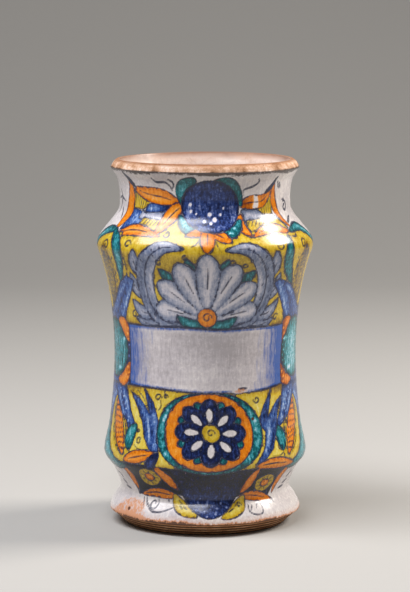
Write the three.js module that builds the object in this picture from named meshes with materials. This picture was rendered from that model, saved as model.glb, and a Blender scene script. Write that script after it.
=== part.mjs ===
// Albarello: a waisted pharmacy jar, thrown in earthenware and covered with tin glaze.
// Millimetres, +Z up. The origin is the middle of the foot, on the surface that the jar stands on.

import * as THREE from "three";

// Overall size
const jarHeight = 250;

// Outside diameters, on the glaze where the jar is glazed
const lipDiameter = 129.3;
const neckDiameter = 116.7;
const shoulderDiameter = 148.2;
const waistDiameter = 125;
const lowerRidgeDiameter = 139.4;
const ankleDiameter = 116.4;
const footDiameter = 131;
const baseDiameter = 110.2;

// Heights in the lower part, up from the surface below the jar
const glazeLineHeight = 8.9;
const footEdgeWidth = 1.7;
const ankleHeight = 25;
const lowerRidgeHeight = 50.5;

// Depths in the upper part, down from the crest of the rim
const lipEdgeDepth = 5.3;
const neckDepth = 28.3;
const shoulderDepth = 57.6;

// Place of the waist, as a share of the way from the lower ridge up to the shoulder
const waistPlace = 0.44;

// How far each ridge is rounded, along the outline to either side of it
const lowerRidgeRounding = 5;
const shoulderRounding = 4.2;

// Leans of the outline in degrees from upright, positive where it widens going up
const footSlopeLean = -21;
const ankleFlareLean = 46;
const lowerBarrelLean = -16;
const upperBarrelLean = 17.5;
const shoulderSlopeLean = -35.5;
const lipFlareLean = 28;

// Rim: a bare bevel from the lip's edge in to a narrow flat crest round the mouth
const bevelWidth = 4.2;
const crestWidth = 1.6;
const bevelStartLean = -15;
const bevelEndLean = -68;
const mouthSlopeLean = -30;

// Walls
const barrelWall = 6.4;
const neckWall = 5.4;
const ankleWall = 6.8;
const floorThickness = 8.5;
const floorRounding = 11;
const glazeThickness = 0.5;

// Base: a flat standing ring round a shallow hollow, and turned grooves on the bare band above it
const standingRingWidth = 13;
const hollowDepth = 1.8;
const hollowSlopeWidth = 3;
const grooveWidth = 1.5;
const grooveSpacing = 1.7;
const grooveDepth = 0.5;

// How far a curve holds its lean at one end, as a share of its chord
const tight = 0.15;
const easy = 0.3;
const long = 0.6;
const straight = 0.75;

// Facets: around the jar, and along each stretch of the outline outside, inside and over the rim.
// The widest point of a ridge is looked for in finer steps.
const facetsAround = 40;
const outerSteps = 4;
const longOuterSteps = 5;
const innerSteps = 3;
const longInnerSteps = 4;
const bevelSteps = 4;
const searchSteps = 24;

const up = 0;
const down = 180;
const inwards = -90;

const shoulderHeight = jarHeight - shoulderDepth;
const neckHeight = jarHeight - neckDepth;
const waistHeight = lowerRidgeHeight + waistPlace * (shoulderHeight - lowerRidgeHeight);

// A point of the outline: its distance from the jar's axis, and its height
function point(radius, height) {
  return new THREE.Vector2(radius, height);
}

// The unit vector that leans by an angle in degrees from upright
function leaning(angle) {
  const radians = THREE.MathUtils.degToRad(angle);
  return point(Math.sin(radians), Math.cos(radians));
}

// A smooth stretch of outline that leaves one point and arrives at another along the given leans.
// Its last point is left to the stretch that follows.
function sweep(from, fromLean, fromHold, to, toLean, toHold, steps) {
  const chord = from.distanceTo(to);
  const leave = from.clone().addScaledVector(leaning(fromLean), chord * fromHold);
  const arrive = to.clone().addScaledVector(leaning(toLean), -chord * toHold);
  return new THREE.CubicBezierCurve(from, leave, arrive, to).getPoints(steps).slice(0, steps);
}

// A rounded ridge with its widest point at the given place, and the leans below and above it
function ridge(radius, height, rounding, leanBelow, leanAbove) {
  const start = leaning(leanBelow).multiplyScalar(-rounding);
  const end = leaning(leanAbove).multiplyScalar(rounding);
  const fine = sweep(start, leanBelow, easy, end, leanAbove, easy, searchSteps);
  const widest = fine.reduce((best, p) => (p.x > best.x ? p : best)).clone();
  const shift = point(radius, height).sub(widest);
  start.add(shift);
  end.add(shift);
  return { start, end, stretch: sweep(start, leanBelow, easy, end, leanAbove, easy, outerSteps) };
}

// The same outline moved sideways by a distance, to the right of the way it runs
function offset(outline, distance) {
  return outline.map((here, i) => {
    const before = outline[Math.max(i - 1, 0)];
    const after = outline[Math.min(i + 1, outline.length - 1)];
    const along = after.clone().sub(before).normalize();
    return point(here.x + along.y * distance, here.y - along.x * distance);
  });
}

// Outside of the painted glaze, from the glaze line above the foot up to the lip's edge
function glazedOutline() {
  const lowerRidge = ridge(
    lowerRidgeDiameter / 2, lowerRidgeHeight, lowerRidgeRounding, ankleFlareLean, lowerBarrelLean);
  const shoulder = ridge(
    shoulderDiameter / 2, shoulderHeight, shoulderRounding, upperBarrelLean, shoulderSlopeLean);
  const footEdge = point(footDiameter / 2, glazeLineHeight + footEdgeWidth);
  const ankle = point(ankleDiameter / 2, ankleHeight);
  const waist = point(waistDiameter / 2, waistHeight);
  const neck = point(neckDiameter / 2, neckHeight);
  const lipEdge = point(lipDiameter / 2, jarHeight - lipEdgeDepth);
  return [
    point(footDiameter / 2, glazeLineHeight),
    ...sweep(footEdge, footSlopeLean, straight, ankle, up, easy, outerSteps),
    ...sweep(ankle, up, tight, lowerRidge.start, ankleFlareLean, easy, outerSteps),
    ...lowerRidge.stretch,
    ...sweep(lowerRidge.end, lowerBarrelLean, easy, waist, up, tight, outerSteps),
    ...sweep(waist, up, long, shoulder.start, upperBarrelLean, tight, longOuterSteps),
    ...shoulder.stretch,
    ...sweep(shoulder.end, shoulderSlopeLean, straight, neck, up, easy, outerSteps),
    ...sweep(neck, up, straight, lipEdge, lipFlareLean, easy, longOuterSteps),
    lipEdge,
  ];
}

// Face of the lining, from the rim's inner edge down the wall and over the floor to the axis
function liningOutline() {
  const floorTop = hollowDepth + floorThickness;
  const mouth = point(lipDiameter / 2 - bevelWidth - crestWidth - glazeThickness, jarHeight);
  const throat = point(neckDiameter / 2 - neckWall, neckHeight);
  const upperBelly = point(shoulderDiameter / 2 - barrelWall, shoulderHeight);
  const waist = point(waistDiameter / 2 - barrelWall, waistHeight);
  const lowerBelly = point(lowerRidgeDiameter / 2 - barrelWall, lowerRidgeHeight);
  const corner = point(ankleDiameter / 2 - ankleWall, floorTop + floorRounding);
  const floorEdge = point(corner.x - floorRounding, floorTop);
  return [
    ...sweep(mouth, down - mouthSlopeLean, tight, throat, down, easy, innerSteps),
    ...sweep(throat, down, easy, upperBelly, down, tight, longInnerSteps),
    ...sweep(upperBelly, down, tight, waist, down, long, longInnerSteps),
    ...sweep(waist, down, long, lowerBelly, down, tight, innerSteps),
    ...sweep(lowerBelly, down, tight, corner, down, easy, innerSteps),
    ...sweep(corner, down, easy, floorEdge, inwards, easy, innerSteps),
    floorEdge,
    point(0, floorTop),
  ];
}

// The bare band between the standing ring and the glaze line, with its turned grooves
function turnedBand(from, to) {
  const along = to.clone().sub(from);
  const length = along.length();
  along.divideScalar(length);
  const inward = point(-along.y, along.x);
  const pitch = grooveWidth + grooveSpacing;
  const grooves = Math.max(Math.floor(length / pitch) - 1, 0);
  const band = [from];
  for (let i = 0; i < grooves; i += 1) {
    const middle = length / 2 + (i - (grooves - 1) / 2) * pitch;
    const bottom = from.clone().addScaledVector(along, middle).addScaledVector(inward, grooveDepth);
    band.push(from.clone().addScaledVector(along, middle - grooveWidth / 2));
    band.push(bottom);
    band.push(from.clone().addScaledVector(along, middle + grooveWidth / 2));
  }
  return band;
}

// A solid of revolution about the jar's axis; the outline runs anticlockwise round the material
function revolved(name, outline, material) {
  const geometry = new THREE.LatheGeometry(outline, facetsAround);
  geometry.rotateX(Math.PI / 2);
  const mesh = new THREE.Mesh(geometry, material);
  mesh.name = name;
  return mesh;
}

// Cuts each four-sided facet along its other diagonal. A skin's outline runs the opposite way to the
// clay's where the two meet, and this gives them the same triangles there.
function cutTheOtherWay(geometry) {
  const corners = geometry.index.array;
  const perFacet = 6;
  for (let i = 0; i < corners.length; i += perFacet) {
    const [a, b, d, c] = corners.slice(i, i + perFacet);
    corners.set([a, b, c, a, c, d], i);
  }
}

// A glaze coat: a revolved skin whose triangles match those of the clay below it
function skin(name, outline, material) {
  const mesh = revolved(name, outline, material);
  cutTheOtherWay(mesh.geometry);
  return mesh;
}

const clay = new THREE.MeshStandardMaterial({ color: 0xb98a66, roughness: 0.85, metalness: 0 });
const paintedGlaze = new THREE.MeshStandardMaterial({ color: 0xe9dfd6, roughness: 0.18, metalness: 0 });
const plainGlaze = new THREE.MeshStandardMaterial({ color: 0xe6d3c4, roughness: 0.25, metalness: 0 });

// Where glaze and clay meet, the solids on both sides are made from the same points
const glazed = glazedOutline();
const underGlaze = offset(glazed, -glazeThickness);
underGlaze[0] = point(glazed[0].x - glazeThickness, glazed[0].y);
const lining = liningOutline();
const underLining = offset(lining, -glazeThickness);
underLining[0] = point(lining[0].x + glazeThickness, lining[0].y);

// Painted glaze: a skin over the outside, from the glaze line to the lip's edge
function outerGlaze() {
  return skin("outer_glaze", [...glazed, ...underGlaze.toReversed(), glazed[0]], paintedGlaze);
}

// Lining glaze: a skin over the wall and floor inside
function innerGlaze() {
  return skin("inner_glaze", [...underLining.toReversed(), ...lining], plainGlaze);
}

// Earthenware: the whole thrown wall and floor, bare at the rim, at the foot band and below
function earthenwareBody() {
  const standingEdge = point(baseDiameter / 2, 0);
  const hollowEdge = point(standingEdge.x - standingRingWidth, 0);
  const lip = underGlaze.at(-1);
  const crestInner = underLining[0];
  const crestOuter = point(crestInner.x + crestWidth, jarHeight);
  const outline = [
    point(0, hollowDepth),
    point(hollowEdge.x - hollowSlopeWidth, hollowDepth),
    hollowEdge,
    ...turnedBand(standingEdge, underGlaze[0]),
    ...underGlaze.slice(0, -1),
    ...sweep(lip, bevelStartLean, easy, crestOuter, bevelEndLean, easy, bevelSteps),
    crestOuter,
    ...underLining,
  ];
  return revolved("earthenware_body", outline, clay);
}

const albarello = new THREE.Group();
albarello.add(earthenwareBody());
albarello.add(outerGlaze());
albarello.add(innerGlaze());

export default albarello;
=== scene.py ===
import math
from functools import partial

import bmesh
import bpy
import numpy as np
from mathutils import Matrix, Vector, kdtree


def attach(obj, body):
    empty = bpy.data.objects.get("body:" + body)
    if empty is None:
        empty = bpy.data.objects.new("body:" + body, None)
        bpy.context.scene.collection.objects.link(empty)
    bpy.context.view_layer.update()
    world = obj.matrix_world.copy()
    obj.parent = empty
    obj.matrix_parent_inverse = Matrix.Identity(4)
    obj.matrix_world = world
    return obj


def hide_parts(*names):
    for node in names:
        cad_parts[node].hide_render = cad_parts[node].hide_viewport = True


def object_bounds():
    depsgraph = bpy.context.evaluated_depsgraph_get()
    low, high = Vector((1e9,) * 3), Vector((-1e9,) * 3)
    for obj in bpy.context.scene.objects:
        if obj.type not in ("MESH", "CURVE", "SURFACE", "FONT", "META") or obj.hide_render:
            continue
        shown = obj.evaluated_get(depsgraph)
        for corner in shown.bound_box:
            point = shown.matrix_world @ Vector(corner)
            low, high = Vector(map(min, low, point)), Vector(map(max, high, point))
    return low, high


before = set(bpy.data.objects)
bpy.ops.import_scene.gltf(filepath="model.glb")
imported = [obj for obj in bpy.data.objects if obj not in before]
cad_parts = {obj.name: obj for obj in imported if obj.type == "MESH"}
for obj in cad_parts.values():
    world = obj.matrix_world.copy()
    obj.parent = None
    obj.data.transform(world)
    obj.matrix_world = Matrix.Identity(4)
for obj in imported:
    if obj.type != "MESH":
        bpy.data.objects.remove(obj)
cadLow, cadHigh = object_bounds()
mm = 0.001
print("frame loaded")


# Linear colour from an sRGB hex value
def linear(hexCode):
    parts = [int(hexCode[i:i + 2], 16) / 255 for i in (1, 3, 5)]
    parts = [c / 12.92 if c <= 0.04045 else ((c + 0.055) / 1.055) ** 2.4 for c in parts]
    return (*parts, 1.0)


# Adds a node with its settings, feeds its sockets with links or values, and returns one of its outputs
def addNode(tree, kind, feeds=None, output=0, stops=None, **settings):
    node = tree.nodes.new("ShaderNode" + kind)
    for name, value in settings.items():
        setattr(node, name, value)
    for i, (place, hexCode) in enumerate(stops or []):
        ramp = node.color_ramp.elements
        stop = ramp[0] if i == 0 else ramp[-1] if i == len(stops) - 1 else ramp.new(place)
        stop.position = place
        stop.color = linear(hexCode)
    for socket, feed in (feeds or {}).items():
        if isinstance(feed, bpy.types.NodeSocket):
            tree.links.new(feed, node.inputs[socket])
        else:
            node.inputs[socket].default_value = feed
    return node.outputs[output] if node.outputs else None


# A texture's scale from the size of its pattern in millimetres
def patternScale(size):
    return 1 / (size * mm)


# An empty material, and addNode for its tree
def newMaterial(name):
    material = bpy.data.materials.new(name)
    material.use_nodes = True
    material.node_tree.nodes.clear()
    return material, partial(addNode, material.node_tree)


# Camera: the picture's viewpoint, a little above the rim
view = {"distance": 1710.4, "height": 376.0, "downwards": 7.357, "lens": 152.59, "sensor": 36.0}


def addCamera():
    bpy.ops.object.camera_add(
        location=(0, -view["distance"] * mm, view["height"] * mm),
        rotation=(math.radians(90 - view["downwards"]), 0, 0))
    camera = bpy.context.active_object
    camera.data.sensor_width = view["sensor"]
    camera.data.lens = view["lens"]
    bpy.context.scene.camera = camera


# Studio: a pale floor that sweeps up into a backdrop, a long soft box overhead, a small one at the right
# and an even sky
studio = {
    "floorWidth": 8.0, "floorDepth": 5.0, "backdropHeight": 4.0, "sweepRadius": 1.2,
    "floorColour": "#adaba7", "skyColour": "#ffffff", "skyStrength": 0.12,
    "lamps": [
        # name, place, size, watts, colour, turn in degrees
        ("softbox_overhead", (-0.6, -0.43, 1.46), (1.65, 0.55), 36.0, "#fbfbff", 23.0),
        ("softbox_right", (1.25, 0.3, 1.18), (0.6, 0.55), 31.0, "#fff8f0", 0.0),
    ],
    "aim": (0.0, 0.0, 0.2),
}


def addStudio():
    bpy.ops.object.select_all(action="DESELECT")
    bpy.ops.mesh.primitive_plane_add(size=1, location=(0, 0, 0))
    floor = bpy.context.active_object
    floor.name = "floor"
    floor.scale = (studio["floorWidth"], studio["floorDepth"], 1)
    bpy.ops.object.transform_apply(location=True, scale=True)
    bpy.ops.object.mode_set(mode="EDIT")
    bpy.ops.mesh.select_all(action="DESELECT")
    bpy.ops.mesh.select_mode(type="EDGE")
    bpy.ops.object.mode_set(mode="OBJECT")
    backEdge = max(floor.data.edges, key=lambda e: sum(floor.data.vertices[v].co.y for v in e.vertices))
    backEdge.select = True
    bpy.ops.object.mode_set(mode="EDIT")
    bpy.ops.mesh.extrude_region_move(TRANSFORM_OT_translate={"value": (0, 0, studio["backdropHeight"])})
    bpy.ops.object.mode_set(mode="OBJECT")
    for edge in floor.data.edges:
        low, high = (floor.data.vertices[v].co for v in edge.vertices)
        edge.select = low.y > 0 and high.y > 0 and max(low.z, high.z) < mm
    bpy.ops.object.mode_set(mode="EDIT")
    bpy.ops.mesh.bevel(offset=studio["sweepRadius"], segments=16, affect="EDGES")
    bpy.ops.object.mode_set(mode="OBJECT")
    bpy.ops.object.shade_smooth()
    paper, add = newMaterial("background_paper")  # matt paper roll: even and without a shine
    add("OutputMaterial", {"Surface": add("BsdfPrincipled", {
        "Base Color": linear(studio["floorColour"]), "Roughness": 0.9, "Specular IOR Level": 0.1})})
    floor.data.materials.append(paper)

    for name, place, size, watts, colour, turn in studio["lamps"]:
        bpy.ops.object.light_add(type="AREA", location=place)
        lamp = bpy.context.active_object
        lamp.name = name
        lamp.data.shape = "RECTANGLE"
        lamp.data.size, lamp.data.size_y = size
        lamp.data.energy = watts
        lamp.data.color = linear(colour)[:3]
        away = lamp.location - Vector(studio["aim"])
        lamp.rotation_euler = away.to_track_quat("Z", "Y").to_euler()
        lamp.rotation_euler.rotate_axis("Z", math.radians(turn))

    world = bpy.data.worlds.new("studio_sky")
    world.use_nodes = True
    world.node_tree.nodes.clear()
    addNode(world.node_tree, "OutputWorld", {"Surface": addNode(world.node_tree, "Background", {
        "Color": linear(studio["skyColour"]), "Strength": studio["skyStrength"]})})
    bpy.context.scene.world = world
    bpy.context.scene.view_settings.view_transform = "Standard"


addCamera()
addStudio()
print("studio ready")

# Turning the pot: how finely each piece is spun, and how the potter's hand shows in it
potting = {
    "frontHalf": 100.0,  # degrees to each side of the front that the finer columns cover
    "frontColumn": 1.0, "backColumn": 1.9,  # mm round the jar, at the painter's radius
    "plainColumns": 200,
    "paintedRow": 1.0, "bareRow": 0.9, "hiddenRow": 3.0,  # mm along the outline
    "sharpTurn": 25.0,  # degrees of turn from which a corner stays sharp
    "smoothTurn": 35.0,  # degrees up to which faces are shaded as one surface
    "curveSteps": 24,  # to each stretch of the CAD outline, before the points are spaced evenly
    "cadWeld": 0.002, "spunWeld": 0.004, "onSection": 0.001, "onAxis": 0.01,  # mm
    "bareLip": 8.0, "bareFoot": 10.0,  # mm, how far the body is seen from its top and from its foot
    "painterRadius": 65.0,  # mm, where the painter's arcs are measured
    "ovalness": 0.30, "warp": 0.22, "ridging": 0.05, "ridgePitch": 6.5,  # mm
}
jarHeight = (cadHigh.z - cadLow.z) / mm


# The half outline that a CAD node was turned from, in order, as radius and height in mm
def turnedOutline(node):
    mesh = bmesh.new()
    mesh.from_mesh(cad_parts[node].data)
    bmesh.ops.remove_doubles(mesh, verts=mesh.verts, dist=potting["cadWeld"] * mm)
    slack = potting["onSection"] * mm
    section = {v for v in mesh.verts if abs(v.co.x) < slack and v.co.y < slack}
    nextTo = {v: [e.other_vert(v) for e in v.link_edges if e.other_vert(v) in section] for v in section}
    ends = [v for v in section if len(nextTo[v]) == 1]
    start = min(ends or section, key=lambda v: (v.co.z, v.co.y))
    order = [start]
    step = min(nextTo[start], key=lambda v: (v.co.y, v.co.z))
    while step is not None:
        order.append(step)
        step = next((v for v in nextTo[step] if v not in order), None)
    outline = np.array([(-v.co.y, v.co.z) for v in order]) / mm
    mesh.free()
    return outline, not ends


# Rounds the outline between its sharp corners and sets its points at the spacing of each stretch
def finerOutline(outline, closed, spacingOf):
    knots = np.vstack([outline, outline[:1]]) if closed else outline
    runs = np.diff(knots, axis=0)
    leans = np.degrees(np.arctan2(runs[:, 1], runs[:, 0]))
    turns = np.abs((np.diff(leans) + 180) % 360 - 180)
    corners = [0, *(np.nonzero(turns > potting["sharpTurn"])[0] + 1), len(knots) - 1]
    finer = []
    for first, last in zip(corners, corners[1:]):  # each stretch from one sharp corner to the next
        part = knots[first:last + 1]
        spacing = spacingOf(part)
        if spacing is None or len(part) < 3:
            count = 1 if spacing is None else math.ceil(np.hypot(*(part[-1] - part[0])) / spacing)
            points = part if len(part) > 2 else np.linspace(part[0], part[-1], count + 1)
        else:
            points = roundedRun(part, spacing)
        finer.extend(points[:-1])
    if not closed:
        finer.append(knots[-1])
    return np.array(finer)


# A smooth curve through the points of one stretch, with its places evenly spaced
def roundedRun(part, spacing):
    lengths = np.hypot(*np.diff(part, axis=0).T)
    place = np.concatenate([[0], np.cumsum(lengths)])
    chords = np.diff(part, axis=0) / lengths[:, None]
    before, after = lengths[:-1, None], lengths[1:, None]
    inner = (chords[:-1] * after + chords[1:] * before) / (before + after)
    slopes = np.vstack([2 * chords[0] - inner[0], inner, 2 * chords[-1] - inner[-1]])
    curve = []
    for i, length in enumerate(lengths):
        t = np.linspace(0, 1, potting["curveSteps"], endpoint=False)[:, None]
        curve.append(part[i] * (2 * t ** 3 - 3 * t ** 2 + 1) + slopes[i] * length * (t ** 3 - 2 * t ** 2 + t)
                     + part[i + 1] * (3 * t ** 2 - 2 * t ** 3) + slopes[i + 1] * length * (t ** 3 - t ** 2))
    curve = np.vstack([*curve, part[-1:]])
    travelled = np.concatenate([[0], np.cumsum(np.hypot(*np.diff(curve, axis=0).T))])
    even = np.linspace(0, travelled[-1], math.ceil(travelled[-1] / spacing) + 1)
    return np.column_stack([np.interp(even, travelled, curve[:, 0]),
                            np.interp(even, travelled, curve[:, 1])])


# Spins the outline round the axis: a wire is extruded along it, then spun in the given sweeps
def spinPiece(name, outline, closed, startAngle, sweeps):
    points = np.vstack([outline, outline[:1]]) if closed else outline
    aside, ahead = math.sin(startAngle), -math.cos(startAngle)
    places = [(r * mm * aside, r * mm * ahead, h * mm) for r, h in points]
    bpy.ops.object.select_all(action="DESELECT")
    bpy.ops.mesh.primitive_plane_add(size=mm, location=places[0])  # merged to the wire's first point
    piece = bpy.context.active_object
    piece.name = piece.data.name = name
    bpy.ops.object.mode_set(mode="EDIT")
    bpy.ops.mesh.select_mode(type="VERT")
    bpy.ops.mesh.merge(type="CENTER")
    for here, there in zip(places, places[1:]):
        move = tuple(b - a for a, b in zip(here, there))
        bpy.ops.mesh.extrude_region_move(TRANSFORM_OT_translate={"value": move})
    bpy.ops.mesh.select_all(action="SELECT")
    for steps, angle in sweeps:
        bpy.ops.mesh.spin(steps=steps, angle=-angle, center=(0, 0, 0), axis=(0, 0, 1))
    bpy.ops.mesh.select_all(action="SELECT")
    bpy.ops.mesh.remove_doubles(threshold=potting["spunWeld"] * mm)
    bpy.ops.mesh.normals_make_consistent(inside=False)
    bpy.ops.object.mode_set(mode="OBJECT")
    bpy.ops.object.transform_apply(location=True, rotation=True, scale=True)
    print(name, "spun,", len(piece.data.polygons), "faces")
    return piece


def coordinates(piece):
    places = np.empty(len(piece.data.vertices) * 3)
    piece.data.vertices.foreach_get("co", places)
    return places.reshape(-1, 3)


# Lays the piece out for baked textures: round the jar across, along the outline upwards
def layOut(piece, outline, closed, roomOf):
    ends = np.vstack([outline, outline[:1]]) if closed else outline
    room = np.hypot(*np.diff(ends, axis=0).T) * np.array([roomOf(a, b) for a, b in zip(ends, ends[1:])])
    share = np.concatenate([[0], np.cumsum(room)]) / room.sum()
    tree = kdtree.KDTree(len(outline))
    for i, (radius, height) in enumerate(outline):
        tree.insert((radius, 0, height), i)
    tree.balance()
    places = coordinates(piece) / mm
    rowShare = np.array([share[tree.find((math.hypot(x, y), 0, z))[1]] for x, y, z in places])
    turnShare = np.arctan2(places[:, 0], -places[:, 1]) / (2 * math.pi) + 0.5
    corners = np.empty(len(piece.data.loops), int)
    piece.data.loops.foreach_get("vertex_index", corners)
    starts = np.empty(len(piece.data.polygons), int)
    piece.data.polygons.foreach_get("loop_start", starts)
    sizes = np.diff(np.append(starts, len(corners)))
    onAxis = np.hypot(places[:, 0], places[:, 1])[corners] < potting["onAxis"]
    # A face across the seam, or at the axis, keeps its corners together
    layout = []
    for values in (turnShare[corners], rowShare[corners]):
        highest = np.repeat(np.maximum.reduceat(values, starts), sizes)
        layout.append(np.where(highest - values > 0.5, values + 1, values))
    others = np.repeat(np.add.reduceat(np.where(onAxis, 0, layout[0]), starts), sizes)
    layout[0] = np.where(onAxis, others / np.maximum(np.repeat(sizes, sizes) - 1, 1), layout[0])
    across = (layout[0] - layout[0].min()) / (layout[0].max() - layout[0].min())
    piece.data.uv_layers.new(name="OFBake").data.foreach_set("uv",
                                                             np.column_stack([across, layout[1]]).ravel())


# The potter's hand: a slightly oval, slightly uneven pot with faint throwing ridges
def throwByHand(piece):
    places = coordinates(piece)
    radius = np.hypot(places[:, 0], places[:, 1])
    angle = np.arctan2(places[:, 0], -places[:, 1])
    rise = places[:, 2] / mm / jarHeight
    push = potting["ovalness"] * rise * np.cos(2 * angle + 0.9)
    push += potting["warp"] * np.sin(3 * angle + 5 * rise) * rise * (1.2 - rise)
    push += potting["ridging"] * np.sin(2 * math.pi * rise * jarHeight / potting["ridgePitch"] + angle)
    share = 1 + push * mm * np.clip(radius / (20 * mm), 0, 1) / np.maximum(radius, mm)
    places[:, 0] *= share
    places[:, 1] *= share
    places[:, 2] += potting["warp"] * mm * np.sin(2 * angle + 2.2) * np.clip(rise * 2 - 1, 0, 1)
    piece.data.vertices.foreach_set("co", places.ravel())
    piece.data.update()


def finishPiece(piece, node, material):
    throwByHand(piece)
    bpy.ops.object.shade_smooth_by_angle(angle=math.radians(potting["smoothTurn"]))
    piece.data.materials.append(material)
    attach(piece, "root")
    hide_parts(node)


# The painting, laid out in mm: the arc round the jar at the painter's radius, from the middle of the
# front, and the height. Each pigment is kept as a signed distance to its edge, below zero inside.
farAway = 9.0  # mm, past which a distance no longer matters
pigmentNames = ["yellow", "orange", "cobalt", "teal", "grey", "navy"]


class JarPainting:
    def __init__(self, arc, height):
        # The painter's hand is a little unsteady: lines sway by up to about 1 mm over 40 to 120 mm
        self.arc = arc + 0.7 * np.sin(height / 17 + 1) + 0.35 * np.sin(height / 6.1 + arc / 23)
        self.height = height + 0.55 * np.sin(arc / 19) + 0.3 * np.sin(arc / 7.3 + height / 11)
        self.layers = {name: np.full(len(arc), farAway) for name in pigmentNames + ["ink"]}
        self.layers["tone"] = np.zeros(len(arc))
        self.layers["rubbed"] = np.zeros(len(arc))
        self.side = 1

    # What is painted in a loop over this comes out on the right, and mirrored on the left
    def bothSides(self):
        for self.side in (-1, 1):
            yield self.side

    # Lays a pigment over what is there; None lays the bare white of the glaze
    def paint(self, shape, pigment):
        where, distance = shape
        for name in pigmentNames + ["ink"]:
            layer = self.layers[name]
            layer[where] = np.maximum(layer[where], -distance)
        if pigment:
            layer = self.layers[pigment]
            layer[where] = np.minimum(layer[where], distance)
        self.layers["tone"][where] *= np.clip(0.5 + distance, 0, 1)

    # Draws with the thin dark brush
    def draw(self, *shapes):
        for where, distance in shapes:
            layer = self.layers["ink"]
            layer[where] = np.minimum(layer[where], distance)

    # Thins the colour above zero and thickens it below, with a soft edge
    def shade(self, shape, amount, softness=1.5):
        where, distance = shape
        self.layers["tone"][where] += amount * np.clip(0.5 - distance / softness, 0, 1)

    # Rubs the glaze thin, so that the clay shows
    def rub(self, shape, amount, softness=2.0):
        where, distance = shape
        self.layers["rubbed"][where] += amount * np.clip(0.5 - distance / softness, 0, 1)

    # Paints a leaf with a paler middle and, if asked, a dark vein
    def foliage(self, pigment, points, width, root=0.1, tip=0.0, widest=0.5, light=0.0, vein=False):
        self.paint(self.leaf(points, width, root, tip, widest), pigment)
        middle = smoothThrough(points, False)
        count = len(middle)
        if light:
            self.shade(self.leaf(middle[count // 8:-count // 6:3], width * 0.3), light, width * 0.35)
        if vein:
            self.strokes(1.3, middle[count // 6:-count // 6:4])

    # The places that a shape drawn near these points can change
    def near(self, points, reach):
        low = np.min(points, axis=0) - reach - farAway
        high = np.max(points, axis=0) + reach + farAway
        inside = (self.arc > low[0]) & (self.arc < high[0])
        inside &= (self.height > low[1]) & (self.height < high[1])
        return np.nonzero(inside)[0]

    # A brush stroke through the points; root and tip are the shares of its width at its ends
    def leaf(self, points, width, root=0.0, tip=0.0, widest=0.5):
        line = smoothThrough(points, False) * (self.side, 1)
        along = np.linspace(0, 1, len(line))
        swell = np.where(along < widest, along / widest, (1 - along) / (1 - widest))
        base = root + (tip - root) * along
        reach = width / 2 * (base + (1 - base) * np.sin(swell * math.pi / 2) ** 0.8)
        where = self.near(line, width / 2)
        distance = np.full(len(where), farAway)
        for (arc, height), radius in zip(line, reach):
            away = np.hypot(self.arc[where] - arc, self.height[where] - height) - radius
            distance = np.minimum(distance, away)
        return where, distance

    def line(self, points, width=1.3):
        return self.leaf(points, width, 0.8, 0.6)

    # The area inside a closed outline through the points, rounded or with straight sides
    def patch(self, points, rounded=False):
        ring = (smoothThrough(points, True) if rounded else np.array(points, float)) * (self.side, 1)
        where = self.near(ring, 0)
        arc, height = self.arc[where], self.height[where]
        distance = np.full(len(where), farAway)
        inside = np.zeros(len(where), bool)
        for (arcA, heightA), (arcB, heightB) in zip(ring, np.roll(ring, -1, axis=0)):
            runArc, runHeight = arcB - arcA, heightB - heightA
            length = max(runArc ** 2 + runHeight ** 2, 1e-9)
            share = np.clip(((arc - arcA) * runArc + (height - heightA) * runHeight) / length, 0, 1)
            away = np.hypot(arc - arcA - share * runArc, height - heightA - share * runHeight)
            distance = np.minimum(distance, away)
            if runHeight:
                crosses = (heightA > height) != (heightB > height)
                inside ^= crosses & (arc < arcA + (height - heightA) * runArc / runHeight)
        return where, np.where(inside, -distance, distance)

    def oval(self, arc, height, width, tall):
        arc *= self.side
        where = self.near([(arc, height)], max(width, tall) / 2)
        across = (self.arc[where] - arc) / (width / 2)
        along = (self.height[where] - height) / (tall / 2)
        share = np.hypot(across, along)
        slope = np.hypot(across / (width / 2), along / (tall / 2))
        distance = share * (share - 1) / np.maximum(slope, 1e-6)
        return where, np.clip(distance, -farAway, farAway)

    # A curl that turns inwards from where it starts
    def curl(self, arc, height, size, start=0.0, turns=1.2, width=1.2):
        swing = np.linspace(0, turns * 2 * math.pi, 14)
        reach = size / 2 * (1 - 0.7 * swing / abs(swing[-1]) * np.sign(turns))
        angle = math.radians(start) + swing
        points = np.column_stack([arc + reach * np.cos(angle), height + reach * np.sin(angle)])
        return self.leaf(points, width, 0.9, 0.9)

    # A field of one pigment inside an outline
    def field(self, pigment, points, rounded=False):
        self.paint(self.patch(points, rounded), pigment)

    # Lines with the thin dark brush
    def strokes(self, width, *lines):
        for points in lines:
            self.draw(self.line(points, width))

    # Parallel strokes between two edges, each edge given by its two ends
    def hatch(self, edge, otherEdge, count, width=1.1):
        for share in np.linspace(0, 1, count):
            start = [a + (b - a) * share for a, b in zip(*edge)]
            end = [a + (b - a) * share for a, b in zip(*otherEdge)]
            self.strokes(width, [start, end])


# A curve through the points, with a place about every millimetre
def smoothThrough(points, closed):
    knots = np.array(points, float)
    if closed:
        padded = np.vstack([knots[-1], knots, knots[:2]])
    else:
        padded = np.vstack([2 * knots[0] - knots[1], knots, 2 * knots[-1] - knots[-2]])
    pieces = []
    for before, start, end, after in zip(padded, padded[1:], padded[2:], padded[3:]):
        steps = max(int(np.hypot(*(end - start)) / 0.9), 2)
        t = np.linspace(0, 1, steps, endpoint=False)[:, None]
        pieces.append(0.5 * (2 * start + (end - before) * t
                             + (2 * before - 5 * start + 4 * end - after) * t ** 2
                             + (3 * start - before - 3 * end + after) * t ** 3))
    if not closed:
        pieces.append(knots[-1:])
    return np.vstack(pieces)


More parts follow.
